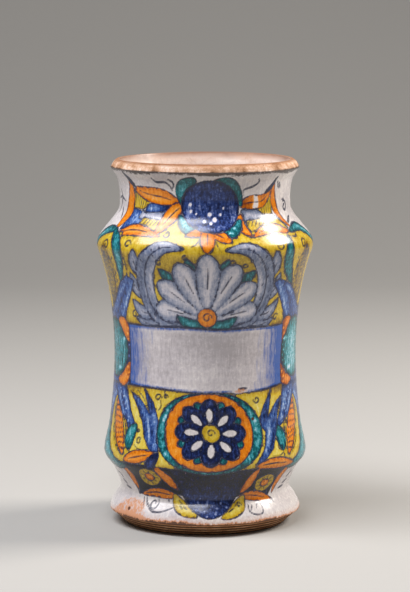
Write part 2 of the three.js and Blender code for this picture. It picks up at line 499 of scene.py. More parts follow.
# A corn cob: a yellow husk, with rows of dark dabs on the cob inside it
def paintCob(jar, points, width, pigment, tone, pace, dab):
    husk, cob = (jar.leaf(points, width * share, 0.15, 0.05, 0.45) for share in (1, 0.72))
    jar.paint(husk, "yellow")
    jar.paint(cob, pigment)
    jar.shade(cob, tone, 3)
    spine = smoothThrough(points, False)
    rows = len(spine) // pace
    for row in range(1, rows):
        place, height = spine[pace * row]
        swell = width * math.sin(math.pi * (0.08 + 0.84 * row / rows))
        for column in (-0.24, -0.08, 0.08, 0.24):
            arc, top = place + jar.side * column * swell, height + 0.5 * math.sin(5 * column + row)
            jar.strokes(1.5, [(arc, top), (arc + jar.side * 0.3, top - dab)])


# Sides: a blue ground behind everything, closed by a striped band at each end of the front
def paintSides(jar):
    for _ in jar.bothSides():
        ground = jar.patch([(58, 48), (58, 200), (104, 198), (104, 48)])
        jar.paint(ground, "cobalt")
        jar.shade(ground, -0.4, 3)
        jar.paint(jar.leaf([(105.5, 48), (105, 98), (105, 142), (105.5, 199)], 5, 1.0, 1.0), "yellow")
        for step in range(31):
            jar.strokes(1.3, [(103.7, 50 + 4.8 * step), (106.8, 52 + 4.8 * step)])


# Neck: a round fruit among leaves, on white, with loose squiggles beside it
def paintNeck(jar):
    paint, shade, foliage, patch, oval = jar.paint, jar.shade, jar.foliage, jar.patch, jar.oval
    jar.field("cobalt", [(-66, 205), (-62, 219), (-52, 218), (-46, 214), (-49, 207)])
    shade(patch([(-58, 208), (-56, 214), (-48, 213), (-50, 208)]), 0.6, 5)
    jar.field("grey", [(-52, 213), (-50, 218), (-28, 218), (-20, 216), (-30, 208)])
    shade(patch([(-52, 213), (-50, 217), (-28, 217), (-30, 211)]), 0.8, 4)
    jar.field("cobalt", [(-48, 217), (-45, 222), (-40, 224), (-16, 222), (-20, 218)])
    shade(oval(-40, 220, 9, 4), 0.6, 4)
    shade(patch([(-30, 224), (-30, 217), (-16, 217), (-16, 224)]), -1.1, 8)
    jar.field("yellow", [(-50, 207), (-47, 213.5), (-38, 213), (-28, 212), (-30, 205)])
    jar.hatch([(-46, 213), (-34, 212)], [(-49, 208), (-37, 208)], 5)
    jar.field("grey", [(26, 213), (28, 220), (45, 220), (62, 214), (66, 208), (44, 207)])
    shade(patch([(30, 214), (30, 218), (46, 217), (58, 212), (44, 211)]), 0.5, 4)
    jar.field("yellow", [(28, 206), (31, 213), (44, 214), (60, 213), (66, 206)])
    jar.hatch([(33, 213), (46, 213)], [(30, 209), (41, 209)], 5)
    jar.field("yellow", [(-60, 231), (-42, 224.5), (-49, 218.5), (-60, 219)])
    jar.hatch([(-58, 230), (-46, 226)], [(-58, 220), (-49, 219)], 6, 1.0)
    jar.field("yellow", [(42, 220.5), (58, 229), (57, 216), (47, 216.5)])
    jar.hatch([(46, 221), (56, 227.5)], [(47, 217), (56, 217)], 5, 1.0)
    # Long leaves to both sides, and the crescents that close the panel
    foliage("orange", [(-60, 233), (-46, 229.5), (-30, 226.5), (-16, 222)], 10.5, 0.15, 0.0, 0.55,
            vein=True)
    shade(jar.leaf([(-50, 229), (-38, 226), (-26, 223.5)], 2.5), 0.5, 3)
    foliage("orange", [(26, 223), (38, 225), (48, 226), (58, 234)], 9.5, 0.1, 0.0, 0.35, vein=True)
    shade(oval(33, 224, 10, 5), -0.6, 4)
    foliage("orange", [(-64.5, 240), (-63.5, 228), (-66, 216), (-72, 205)], 9.5, 0.1, 0.1, 0.6)
    foliage("orange", [(57.5, 239), (59, 227), (63, 216), (69, 206)], 6, 0.1, 0.2, 0.5)
    foliage("navy", [(-68, 243), (-63, 237.5), (-57, 232.5)], 3.4, 0.4)
    foliage("navy", [(59, 240), (56.5, 235), (49, 230)], 3.0, 0.4)
    shade(patch([(38, 221), (42.5, 221), (43.5, 225), (42, 230), (39, 230), (39.8, 226)], True), 2.2, 2.2)
    # Leaves that hang towards the shoulder
    # The pale middle of the leaf hanging to the left is in part a painted highlight from the shoulder's
    # gloss
    foliage("orange", [(-15, 223), (-25, 214.5), (-33, 203)], 10.5, 0.2, 0.0, 0.4, light=0.7, vein=True)
    foliage("orange", [(27.5, 217), (25.5, 210), (31, 202.5)], 6.5, 0.2, 0.0, 0.45, light=0.4)
    for points, width in [([(-67, 202.5), (-54, 205), (-42, 205), (-29, 202.5)], 7.5),
                          ([(31, 202.5), (42, 206.5), (54, 207), (68, 202)], 6.5)]:
        foliage("orange", points, width, 0.0, 0.0, 0.45, light=0.6, vein=True)
    # Lobed leaves round the fruit
    foliage("teal", [(-15, 224), (-15.5, 233), (-8, 239)], 11, 0.6, 0.5, 0.5, light=0.6)
    foliage("teal", [(8, 238), (18, 237), (24.5, 231), (28, 223)], 9.5, 0.4, 0.2, 0.5)
    shade(jar.leaf([(14, 237), (21, 233), (24, 228)], 2), 0.5, 3)
    foliage("teal", [(-18, 215), (-12, 209), (-3, 205)], 8.5, 0.2, 0.3, 0.6, light=0.9)
    foliage("teal", [(26, 213), (19, 207.5), (9, 204.5)], 8, 0.2, 0.3, 0.5)
    for arc, height in [(20, 209), (17, 206), (13, 206.5)]:
        shade(oval(arc, height, 2, 1.6), 1.2, 1)
    foliage("orange", [(4, 206.5), (-4, 205), (-12, 203)], 5.5, 0.3, 0.0, 0.4)
    foliage("orange", [(4, 206.5), (10, 204), (17, 200.5)], 7, 0.3, 0.0, 0.5, vein=True)
    foliage("orange", [(2.5, 207.5), (2, 200), (1, 192.5)], 9, 0.3, 0.0, 0.4, vein=True)
    jar.strokes(1.3, [(-2, 203), (-4.5, 198.5), (-8, 196)], [(6.5, 202), (8, 197), (10, 193)])
    # The fruit: deep blue with a paler rim below, mottled and dotted with white
    paint(oval(4.5, 222.5, 43.5, 34), "navy")
    shade(oval(4, 224, 34, 24), 0.25, 8)
    shade(jar.leaf([(-14, 216), (-7, 209.5), (4, 207.5), (16, 209.5), (23, 216)], 3), 0.6, 3)
    shade(oval(-12.5, 217, 5, 10), 0.7, 5)
    shade(oval(22, 217, 5, 10), 0.7, 5)
    for arc, height, size in [
        (-10.5, 223, 2), (-10, 218.5, 1.6), (-6, 217, 1.2), (0, 212.5, 2), (3.7, 217.3, 2.4),
        (4.5, 211.5, 1.8), (7.2, 214, 2.8), (11.5, 217.3, 1.4), (14, 221.3, 1.4),
    ]:
        shade(oval(arc, height, size, size), 2.6, 1.0)
    for points in [
        [(-39.5, 239.5), (-36, 237), (-29, 237), (-25.5, 234.5), (-24, 231.5)],
        [(-26, 239), (-23, 237.5), (-22.5, 235), (-24, 233)],
        [(41, 240.5), (42, 238.5), (38, 236), (31.5, 234), (30, 232.5), (30.5, 230)],
        [(-89, 225), (-82, 226), (-73, 223)], [(-84, 231), (-81, 225), (-87, 215)],
        [(-79, 219), (-74, 212)], [(70, 209), (79, 212.5)], [(62, 237), (65, 232)],
        [(65, 236), (67.5, 232)], [(72, 224), (76, 224)],
    ]:
        jar.strokes(1.8, points)
    jar.draw(jar.curl(76, 219, 8, 120, -1.1, 1.8))


# Shoulder: a hatched pod at each side below a ribbon, and stub leaves over the label's corners
def paintShoulder(jar):
    for _ in jar.bothSides():
        jar.field("yellow", [(60, 199), (74, 205), (90, 204), (101, 190), (102, 168), (94, 152), (80, 146),
                             (66, 158), (57, 172), (55, 187)], True)
        jar.shade(jar.leaf([(77, 196), (76.5, 180), (80, 156)], 15, 0.2, 0.2, 0.45), -0.45, 5)
        paintCob(jar, [(78, 192), (78, 172), (81.5, 150)], 17, "yellow", -0.35, 3, 2.6)
        jar.draw(jar.curl(73.5, 195, 7, 30, 1.0, 1.5))
        jar.paint(jar.leaf([(61, 202.5), (68, 202)], 3, 0.8, 0.8), "yellow")
        for step in range(6):
            place = 67.5 + 0.5 * step + 0.8 * math.sin(2 * step)
            jar.strokes(1.5, [(place, 187 - 5.3 * step), (place + 1.4, 185 - 5.3 * step)])
    jar.foliage("teal", [(-104, 186), (-97, 193), (-89, 200.5), (-80, 204.5), (-68, 205)], 6.5, 0.5, 0.2,
                0.5, light=0.7)
    jar.foliage("teal", [(-70, 204.5), (-62.5, 197), (-60.5, 187), (-64.5, 167)], 8.5, 0.3, 0.1, 0.4,
                light=0.5)
    jar.foliage("teal", [(104, 186), (98, 194), (89, 201), (78, 205.5), (64, 204)], 6.5, 0.5, 0.2, 0.5,
                light=0.8)
    jar.foliage("teal", [(59, 201), (57.5, 190), (60, 179), (69, 164)], 8.5, 0.3, 0.0, 0.4)
    # Blunt blue leaves that rise from the label's corners, with pale and dark strokes along them
    jar.field("cobalt", [(-50, 172), (-57, 175), (-66, 169.5), (-77, 156.5), (-96, 145), (-98, 139),
                         (-65, 139), (-62, 150), (-56.5, 161)])
    jar.field("cobalt", [(47, 171), (52, 173), (66, 168), (82, 154), (98, 145), (100, 139), (66, 139),
                         (62, 150), (55, 161)])
    for _ in jar.bothSides():
        for root, tip, amount in [
            ((52, 171), (68, 146), 0.9), ((57, 170), (76, 147), -0.8), ((61, 168), (84, 149), 1.0),
            ((66, 163), (90, 146), -0.6),
        ]:
            jar.shade(jar.leaf([root, tip], 1.6), amount, 2.4)


# Label: a bare white band with its ends washed blue by upright strokes, between round green fruits
def paintLabel(jar):
    for side in jar.bothSides():
        jar.field("cobalt", [(50, 100.5), (50, 141), (103, 141), (103, 98)])
        jar.shade(jar.leaf([(66, 99), (63, 120), (65, 142)], 4), -0.6, 6)
        jar.paint(jar.oval(83.5, 123.5, 41, 41), "teal")
        # Each green fruit gets a paler middle; the right one's is paler than the left's, a painted light
        # from the right
        jar.shade(jar.oval(82, 122, 24, 30), 0.5 + 0.2 * side, 12)
        for step in range(5):
            place = 70 + 4 * step
            streak = [(place, 112 - 2 * step), (place - 1.5, 122), (place, 131 + 1.5 * step)]
            jar.shade(jar.leaf(streak, 1.2), 0.7, 2)
            jar.shade(jar.leaf([(place + 2, 114), (place + 2.5, 126)], 1.0), -0.5, 2)
        jar.shade(jar.oval(67.5, 131, 4, 3), 1.1, 2)
        jar.shade(jar.oval(75.5, 110, 5, 3), 1.1, 2)
        jar.foliage("orange", [(75, 143.5), (67, 140.5), (61, 131)], 9.5, 0.0, 0.5, 0.6, light=0.3)
        jar.foliage("orange", [(78, 101.5), (67, 103.5), (61, 114)], 9.5, 0.0, 0.4, 0.5, light=0.3)
    jar.field(None, [(-59.5, 100.8), (-30, 98.8), (0, 98), (30, 98), (62.5, 100), (63.5, 141.3),
                     (-60, 141)])
    for outer, inner, amount in [
        (-62, -42, -0.22), (-62, -50, -0.45), (-62, -55, -0.4), (66, 41, -0.22), (66, 48, -0.35),
        (66, 54, -0.4), (66, 59, -0.5),
    ]:
        jar.shade(jar.patch([(outer, 97), (inner, 97), (inner, 143), (outer, 143)]), amount, 9)
    jar.shade(jar.line([(-60, 140), (0, 140.3), (64, 140)], 1.4), -1.2, 1.2)
    jar.shade(jar.line([(-60, 101.6), (-30, 99.8), (0, 98.9), (30, 99), (63, 100.8)], 1.1), -1.2, 1.2)
    for arc, top, bottom in [
        (-47, 136, 118), (-44, 112, 101), (-52, 128, 108), (45, 137, 121), (42, 110, 100), (48, 126, 106),
        (51, 138, 115), (-38, 138, 130), (37, 104, 99),
    ]:
        jar.shade(jar.line([(arc, top), (arc + 0.5, bottom)], 0.8), -0.55, 2.2)
    jar.strokes(1.9, [(-61, 141.2), (-30, 141.6), (0, 141.2), (30, 141.4), (64, 141.2)])
    jar.strokes(1.8, [(-61, 100.6), (-30, 98.8), (0, 98), (16, 97.9)],
                [(33, 98.3), (50, 99.2), (64, 100.2)])
    # White dots on the blue beside the label
    for side, edge in [(-1, 61), (1, 64.5)]:
        for step in range(11):
            place = side * (edge + 1.2 + math.sin(2.4 * step))
            jar.shade(jar.oval(place, 101 + 3.7 * step, 1.4, 1.4), 1.7, 1.0)
    # A knock on the lower border has opened the clay
    jar.paint(jar.leaf([(19, 98.2), (25, 99.4), (30.5, 100.4)], 4.2, 0.3, 0.3), None)
    jar.rub(jar.leaf([(20, 98.6), (25, 99.4), (30, 100)], 3.2, 0.3, 0.3), 1.0)
    jar.strokes(2.2, [(24, 100.6), (27, 100.9), (30, 101.2)])


# Upper field: a fan of pale petals between two blue-grey leaves, on yellow
def paintUpperField(jar):
    shade, foliage = jar.shade, jar.foliage
    jar.field("yellow", [(-88, 141), (-66, 160), (-60, 180), (-60, 203), (-44, 214), (-22, 216), (0, 205),
                         (26, 215), (46, 214), (60, 203), (58, 180), (66, 160), (92, 141)])
    # Painted shade: a darker band across the field, under the shoulder
    shade(jar.patch([(-60, 176), (-60, 192), (60, 192), (60, 176)]), -0.3, 9)
    for side in jar.bothSides():
        for lobe in [
            ((20, 144), (38, 142.5), (52, 147)), ((33, 150), (46, 151), (54.5, 159)),
            ((38, 162), (48.5, 166), (52, 177)), ((39, 175), (46.5, 182), (46, 193)),
        ]:
            foliage("grey", lobe, 8.5, 0.7, 0.0, 0.4, light=0.6)
            jar.strokes(1.3, smoothThrough(lobe, False)[4:-7:4])
        spine = [(14, 142), (29, 146), (38.5, 157), (40.5, 173), (36, 187), (26, 195.5), (13, 195)]
        foliage("grey", spine, 13, 0.2, 0.1, 0.55)
        shade(jar.leaf([(27, 151), (34, 161), (36, 174), (30, 187)], 3), 0.9, 3)
        shade(jar.leaf([(35, 194), (27, 198.5), (16, 197)], 3), 0.9, 4)
        shade(jar.leaf([(32, 147), (42, 158), (44, 172), (39, 185)], 2), -0.6, 3)
        rib = smoothThrough(spine, False)
        jar.strokes(1.4, rib[6:-8:4])
        for step in range(14):
            arc, height = rib[int((0.12 + 0.055 * step) * len(rib))]
            aside = side * 3.4 * math.sin(2.4 * step)
            jar.strokes(1.3, [(arc + aside, height), (arc + aside + 0.8, height + 2)])
    # Green leaves behind the fan
    for arc, height in [(-30, 181), (-12, 189), (14, 189), (32, 181)]:
        foliage("teal", [(1, 160), (arc * 0.6, (height + 160) / 2), (arc, height)], 10, 0.5, 0.0, 0.5)

    # A place on one of the fan's petals, from its lean, how far out it is and how far beside the middle
    def onPetal(lean, out, beside=0):
        aside, up = math.sin(math.radians(lean)), math.cos(math.radians(lean))
        return 1 + out * aside + beside * up, 148 + out * up - beside * aside

    for lean, reach in [(-80, 33), (80, 33), (-54, 37), (54, 37), (-27, 39), (27, 39), (0, 41)]:
        points = [onPetal(lean, share * reach) for share in (0.15, 0.6, 1.0)]
        foliage("grey", points, 15, 0.15, 0.35, 0.75)
        shade(jar.leaf(points, 10, 0.1, 0.3, 0.75), 0.95, 4)
        for offset, amount in [(-5, -0.7), (-1.5, -0.5), (2, 0.4), (5, -0.7)]:
            inner, outer = 0.35 * reach, (1 - 0.03 * abs(offset)) * reach
            vein = [onPetal(lean, inner, 0.4 * offset), onPetal(lean, outer, offset)]
            shade(jar.line(vein, 0.8), amount, 1.8)
        jar.strokes(1.3, [onPetal(lean, 0.5 * reach), onPetal(lean, 0.84 * reach)])
    foliage("teal", [(1, 144), (-10, 143.5), (-20, 149)], 8, 0.4, 0.0, 0.4, light=0.4)
    foliage("teal", [(1, 144), (12, 143.5), (22, 149)], 8, 0.4, 0.0, 0.4, light=0.4)
    jar.paint(jar.oval(1, 149, 13, 13), "orange")
    jar.draw(jar.curl(1, 149, 7, 0, 1.1))
    for arc, height, size, start in [
        (-51, 196, 6, 0), (-53, 148.5, 5.5, 90), (-24, 204, 5, 200), (50, 196, 6, 180), (-29, 185, 5, 60),
        (20, 204, 5.5, 20), (16, 187, 5.5, 200), (54, 147, 5.5, 30), (-54, 168, 5, 0), (54, 168, 5, 90),
        (-12, 189, 4, 90), (24, 184, 4, 0),
    ]:
        jar.draw(jar.curl(arc, height, size, start, 0.9, 1.4))


# Lower field: a rosette in a green wreath, with blue leaves and corn cobs to its sides, on yellow
def paintLowerField(jar):
    paint, shade, foliage = jar.paint, jar.shade, jar.foliage
    jar.field("yellow", [(-68, 101.5), (74, 101.5), (62, 70), (60, 47.5), (0, 46.5), (-60, 47.5),
                         (-54, 70)])
    shade(jar.patch([(-60, 92), (60, 92), (58, 50), (-58, 50)]), 0.45, 9)
    for _ in jar.bothSides():
        jar.field("cobalt", [(66, 99), (103, 99), (102, 86), (90, 74), (78, 84)])
        shade(jar.leaf([(74, 96), (84, 90), (92, 82)], 4), 0.8, 5)
        foliage("teal", [(100, 78), (92, 60), (76, 50), (60, 46)], 20, 0.4, 0.1, 0.45, light=0.6)
        foliage("yellow", [(79, 90), (74, 70), (59, 48.5)], 25, 0.05, 0.0, 0.5)
        shade(jar.leaf([(84, 76), (80, 62), (66, 51)], 4), 0.5, 5)
        paintCob(jar, [(77, 88), (71.5, 71), (61.5, 53)], 16, "orange", 0.2, 4, 0.9)
        jar.field("cobalt", [(64, 99), (84, 99), (78, 90), (68, 78), (50, 69), (58, 82)])
        for root, tip, amount in [
            ((69, 97), (58, 77), 0.9), ((73, 95), (62, 76), -0.8), ((77, 95), (66, 79), 1.1),
        ]:
            shade(jar.leaf([root, tip], 1.5), amount, 2.4)
        for step in range(9):
            place = 73 - 1.6 * step + 1.5 * math.sin(2.4 * step)
            shade(jar.oval(place, 96 - 2.6 * step, 1.3, 1.3), 1.6, 1.0)
        foliage("teal", [(52, 73), (56.5, 66), (56, 57)], 9.5, 0.3, 0.2, 0.5, light=0.5)
    # Forked blue leaves beside the wreath
    jar.field("cobalt", [(-58, 95.5), (-51, 85), (-46.5, 76), (-43.5, 66), (-38, 58), (-31.5, 54),
                         (-31, 68), (-34, 80), (-37, 90), (-44.5, 99), (-42.5, 91), (-40.5, 82), (-44, 87),
                         (-49, 92)])
    jar.field("cobalt", [(61, 92), (55.5, 82), (53, 70), (47, 58), (37, 49.5), (33, 50), (40.5, 60),
                         (43, 70), (38, 77), (42.5, 88), (50.5, 98.5), (48, 88), (46, 80), (51, 86),
                         (56, 90)])
    for root, tip, amount in [
        ((-34, 60), (-36.5, 84), 0.9), ((-37, 60), (-40, 78), -0.8), ((-41, 65), (-46, 82), -0.6),
        ((-38.5, 62), (-43, 80), 1.0), ((-47, 80), (-53, 90), -0.9), ((-38, 84), (-42, 95), -0.9),
        ((39, 55), (47, 72), 1.0), ((44, 57), (51, 72), -0.9), ((48, 72), (54, 84), -0.7),
        ((41.5, 76), (46, 90), -1.2), ((44.5, 66), (47.5, 78), 0.8), ((54, 84), (59, 90), -0.9),
    ]:
        middle = (root[0] + tip[0]) / 2 + 0.5, (root[1] + tip[1]) / 2
        shade(jar.leaf([root, middle, tip], 1.7), amount, 2.4)
    jar.strokes(1.3, [(-51, 97), (-46, 93), (-43, 88)], [(-28, 97), (-27, 95)])
    foliage("orange", [(-60, 49.5), (-47, 52.5), (-32, 56.5)], 9, 0.1, 0.0, 0.4, light=0.4, vein=True)
    foliage("orange", [(33, 48.5), (48, 48.5), (68, 46)], 8, 0.05, 0.1, 0.5, light=0.4, vein=True)
    foliage("navy", [(-39, 46), (-36, 50), (-31, 57)], 7, 0.5, 0.0, 0.3)
    for arc, height, size, start in [
        (-33, 93, 5.5, 0), (-47.5, 63, 5, 60), (-49.5, 69.5, 3, 0), (37, 93, 5.5, 180),
        (54.5, 59, 5.5, 120), (-27, 94, 3.5, 0),
    ]:
        jar.draw(jar.curl(arc, height, size, start, 0.95, 1.4))
    jar.strokes(1.3, [(-51, 60), (-47, 57.5), (-40, 58)], [(-31, 91), (-31, 87), (-34, 84)],
                [(46, 53.5), (52, 53), (57, 55.5)])
    # The wreath is dabbed on in dark and pale greens
    wreathArc, wreathHeight, dabs, goldenAngle = 3, 71.5, 54, 2.399
    paint(jar.oval(wreathArc, wreathHeight - 0.5, 74, 56), "teal")
    shade(jar.oval(wreathArc, wreathHeight - 0.5, 71, 53), 0.35, 3)
    for step in range(dabs):
        reach = 31.5 + 2.6 * math.sin(step * 1.7)
        dab = [(wreathArc + reach * math.cos(angle), wreathHeight + 0.84 * reach * math.sin(angle))
               for angle in (goldenAngle * step, goldenAngle * step + 0.07)]
        shade(jar.leaf(dab, 1.5), 1.3 if step % 3 == 0 else -1.0, 2.0)
    paint(jar.oval(wreathArc - 0.8, wreathHeight, 60.5, 52.5), "orange")
    shade(jar.oval(wreathArc - 16, wreathHeight - 8, 18, 24), 0.25, 9)

    # Eight petals round a yellow eye, with green tips between them, laid out by sixteenths of a turn
    def onRosette(sixteenth, reach):
        angle = math.pi * sixteenth / 8
        return wreathArc + reach * math.cos(angle), wreathHeight + 0.94 * math.sin(angle) * reach

    for sixteenth in range(1, 16, 2):
        foliage("teal", [onRosette(sixteenth, reach) for reach in (6, 15, 23)], 7, 0.3, 0.0, 0.7, light=0.5)
    for sixteenth in range(0, 16, 2):
        foliage("navy", [onRosette(sixteenth, reach) for reach in (2, 13, 22)], 13, 0.1, 0.2, 0.65)
        foliage(None, [onRosette(sixteenth, reach) for reach in (8, 13, 17.5)], 5, 0.2, 0.1, 0.6)
    paint(jar.oval(wreathArc, wreathHeight, 12.5, 12.5), "yellow")
    jar.draw(jar.curl(wreathArc, wreathHeight, 6, 0, 0.9))


# Ankle and foot: a second round fruit hangs in a dark band, with leaves below it on white
def paintAnkle(jar):
    paint, shade, foliage = jar.paint, jar.shade, jar.foliage
    jar.field("navy", [(-66, 47.5), (68, 47.5), (60, 40), (57, 30), (53, 24), (30, 27), (0, 26), (-30, 28),
                       (-56, 25), (-57, 35)])
    # The dark band is painted near black, and darkened further as painted shade where the ankle faces down
    shade(jar.patch([(-60, 46), (60, 46), (54, 28), (-54, 28)]), -0.9, 4)
    foliage("orange", [(-66, 46), (-60, 38), (-55, 27)], 6, 0.3, 0.0, 0.4)
    foliage("orange", [(68, 46), (62, 36), (58, 25)], 6, 0.3, 0.0, 0.4)
    for arc, height, width, tall in [(-41, 38.5, 18.5, 13), (47, 34.5, 18.5, 12)]:
        paint(jar.oval(arc, height, width, tall), "yellow")
        shade(jar.oval(arc, height, width, tall), -0.2, 3)
        paint(jar.oval(arc, height, width * 0.42, tall * 0.42), "orange")
        for step in range(9):
            across, along = math.cos(2 * math.pi * step / 9), math.sin(2 * math.pi * step / 9)
            jar.strokes(1.3, [(arc + 0.25 * width * across, height + 0.25 * tall * along),
                              (arc + 0.4 * width * across, height + 0.4 * tall * along)])
    foliage("orange", [(-34, 46.5), (-27, 38.5), (-19.5, 30)], 7.5, 0.4, 0.0, 0.4)
    foliage("orange", [(36, 45.5), (32.5, 36), (26.5, 29)], 7, 0.4, 0.0, 0.4)
    foliage("orange", [(-53, 25.5), (-38, 27.5), (-19, 25.5)], 7, 0.0, 0.1, 0.6, vein=True)
    foliage("orange", [(26, 27), (40, 26.5), (58, 21)], 7, 0.1, 0.0, 0.4, vein=True)
    foliage("yellow", [(-22.5, 26), (-17, 19.5), (-4, 14)], 8.5, 0.4, 0.0, 0.4, light=0.5)
    foliage("yellow", [(29.5, 26), (24, 19), (12, 13.5)], 8.5, 0.4, 0.0, 0.4, light=0.5)
    jar.strokes(1.3, [(-19, 23), (-16, 21)], [(-15, 20), (-12, 18)], [(-18, 20), (-15.5, 18)],
                [(25, 23), (22, 20)], [(21, 19), (17, 17)])
    jar.draw(jar.curl(25.5, 21, 4, 0, 0.9))
    jar.field("navy", [(-18.5, 48), (25, 48), (26.5, 39), (26, 32), (23.5, 26), (18, 19.5), (11, 15),
                       (4, 13.2), (-3, 15), (-10, 19.5), (-16, 26), (-19, 32), (-20, 39)], True)
    shade(jar.patch([(-20, 48), (28, 48), (27, 32), (-19, 32)]), -0.7, 9)
    shade(jar.leaf([(-12, 21), (-4, 16.5), (4, 15), (12, 16.5), (19, 21)], 3), 0.55, 4)
    for step in range(16):
        arc = 4 + (2 + 0.8 * step) * math.cos(2.4 * step)
        height = 21 + (1 + 0.35 * step) * math.sin(2.4 * step)
        shade(jar.oval(arc, height, 1.4, 1.2), 1.1, 1)
    jar.strokes(1.4, [(-44, 20), (-39, 15.5), (-30, 15.5), (-21, 19)], [(-50, 23.5), (-46.5, 17)],
                [(-47, 23.5), (-44, 18)], [(50, 21), (53, 19)], [(56, 22), (57.5, 19)],
                [(33, 21), (32.5, 17), (37, 14.5), (43, 15), (44, 20), (40.5, 21), (39, 18.5)])
    jar.strokes(1.3, [(36, 20.5), (34, 17)])
    jar.strokes(1.6, [(-27.5, 23), (-26.5, 21.5)])
    jar.draw(jar.curl(-38.5, 20, 8, 40, -1.1, 1.4))
    jar.rub(jar.patch([(-80, 14), (-72, 19), (-60, 22), (-49, 22), (-44, 16), (-44, 7), (-80, 7)], True),
            0.93, 6)
    jar.rub(jar.leaf([(-75, 10), (-60, 10.5), (-35, 9.5)], 3), 0.5, 3)
    for _ in jar.bothSides():
        jar.strokes(1.8, [(80, 37), (74, 34)], [(77, 32), (71, 30)], [(73, 28), (66, 27)])


# Back: loose blue scrolls with leaves on the white, one to each zone
def paintBack(jar):
    for side in jar.bothSides():
        for bottom, top in [(50, 96), (100, 140), (144, 196)]:
            middle, tall = (bottom + top) / 2, top - bottom
            stem = [(110, bottom + 5), (124, middle - tall * 0.3), (144, middle + tall * 0.22),
                    (168, middle + tall * 0.18), (188, middle - tall * 0.25), (204, middle - tall * 0.3)]
            stalk = smoothThrough(stem, False)
            for step in range(11):
                arc, height = stalk[int((0.06 + 0.085 * step) * len(stalk))]
                lean = 1 if step % 2 else -1
                spread = 7 if step % 3 else -4
                blade = [(arc, height), (arc + spread, height + lean * tall * 0.12),
                         (arc + spread * 0.8, height + lean * tall * 0.26)]
                jar.foliage("cobalt", blade, 7, 0.15, 0.0, 0.55, light=0.8)
            jar.strokes(2.2, stem)
        for arc, height in [
            (112, 226), (140, 221), (168, 227), (195, 222), (108, 30), (140, 34), (170, 29), (197, 33),
        ]:
            jar.strokes(2.0, [(arc + 8, height - 4), (arc + 13, height + 2)])
            jar.draw(jar.curl(arc, height, 13, 130 - 90 * side, 1.2, 2.2))
        for height in (48.5, 98, 141.5, 197):
            jar.strokes(2.0, [(arc, height) for arc in range(106, 205, 14)])


def paintJar(arc, height):
    jar = JarPainting(arc, height)
    for paintZone in (paintBack, paintSides, paintUpperField, paintNeck, paintShoulder, paintAnkle,
                      paintLowerField, paintLabel):
        paintZone(jar)
    # Painted shade: darker colour towards the sides, where less light falls
    for _ in jar.bothSides():
        jar.shade(jar.patch([(67, 50), (104, 50), (104, 198), (67, 198)]), -0.2, 8)
    return jar.layers


# Maiolica: tin glaze with pigments painted into it. Milky white ground, thick and thin brushwork that
# lets the white through, dark outlines, a deep wet gloss with a faint orange peel and small pits.
glazeLook = {
    "whites": [(0.0, "#b0a9ac"), (0.25, "#c6bfc2"), (0.55, "#ddd6d5"), (0.8, "#efe9e5")],
    "pigments": {
        # unevenness, then the colours from the thick edge of a stroke to its thin middle
        "yellow": (0.8, [(0.1, "#7a5a08"), (0.45, "#cfad2a"), (0.7, "#dcca5c"), (0.95, "#efe6b0")]),
        "orange": (0.9, [(0.1, "#8a3c06"), (0.45, "#e07e0a"), (0.7, "#ef9f36"), (0.95, "#f5c593")]),
        "cobalt": (1.4, [(0.1, "#0f1f4c"), (0.45, "#2f5093"), (0.7, "#6687bd"), (0.95, "#b6c8e3")]),
        "teal": (1.3, [(0.1, "#03262c"), (0.45, "#0b6068"), (0.7, "#3d9aa6"), (0.95, "#a2d2e2")]),
        "grey": (1.0, [(0.1, "#333e5f"), (0.45, "#76819c"), (0.7, "#a5a8ba"), (0.95, "#cfcbd3")]),
        "navy": (1.4, [(0.1, "#04070f"), (0.45, "#13204e"), (0.7, "#30498a"), (0.95, "#8a97c2")]),
    },
    "ink": "#141b3c", "washBlue": "#365aa4", "heightening": "#ece4e6",
    "clayStain": "#c88049", "pit": "#5b3520", "darkEdges": "#33201a",
    "outline": 0.42, "outlineSwell": 2.2, "outlineSoftness": 0.22,  # mm, half the width of an outline
    "edgeSoftness": 0.2, "thickEdge": 2.6,  # mm
    "waver": 3.5, "waverDepth": 1.3,  # mm, size and reach of the brush's unevenness
    "tremor": 1.1, "tremorDepth": 0.7,  # mm, the same for its finer shaking
    "streakWidth": 1.5, "mottle": 2.0, "cloud": 26.0, "pitSpacing": 17.0, "orangePeel": 2.6,  # mm
    "ripple": 0.12, "raggedness": 6.0,  # mm, depth of the orange peel and reach of the ragged glaze line
    # Marks that grow with the height: mm where they start, mm where they are full, and their strength
    # The label marks: painted shade that greys the white over the label band
    "labelShadeFrom": (96.0, 104.0, 1.0), "labelShadeTo": (144.0, 136.0, 0.3),
    "footBlush": (20.0, 17.2, 0.25), "footEdge": (16.9, 16.2, 0.65),
    "lipLine": (248.7, 249.6, 0.92), "crumbs": (15.8, 15.2, 0.85),
}


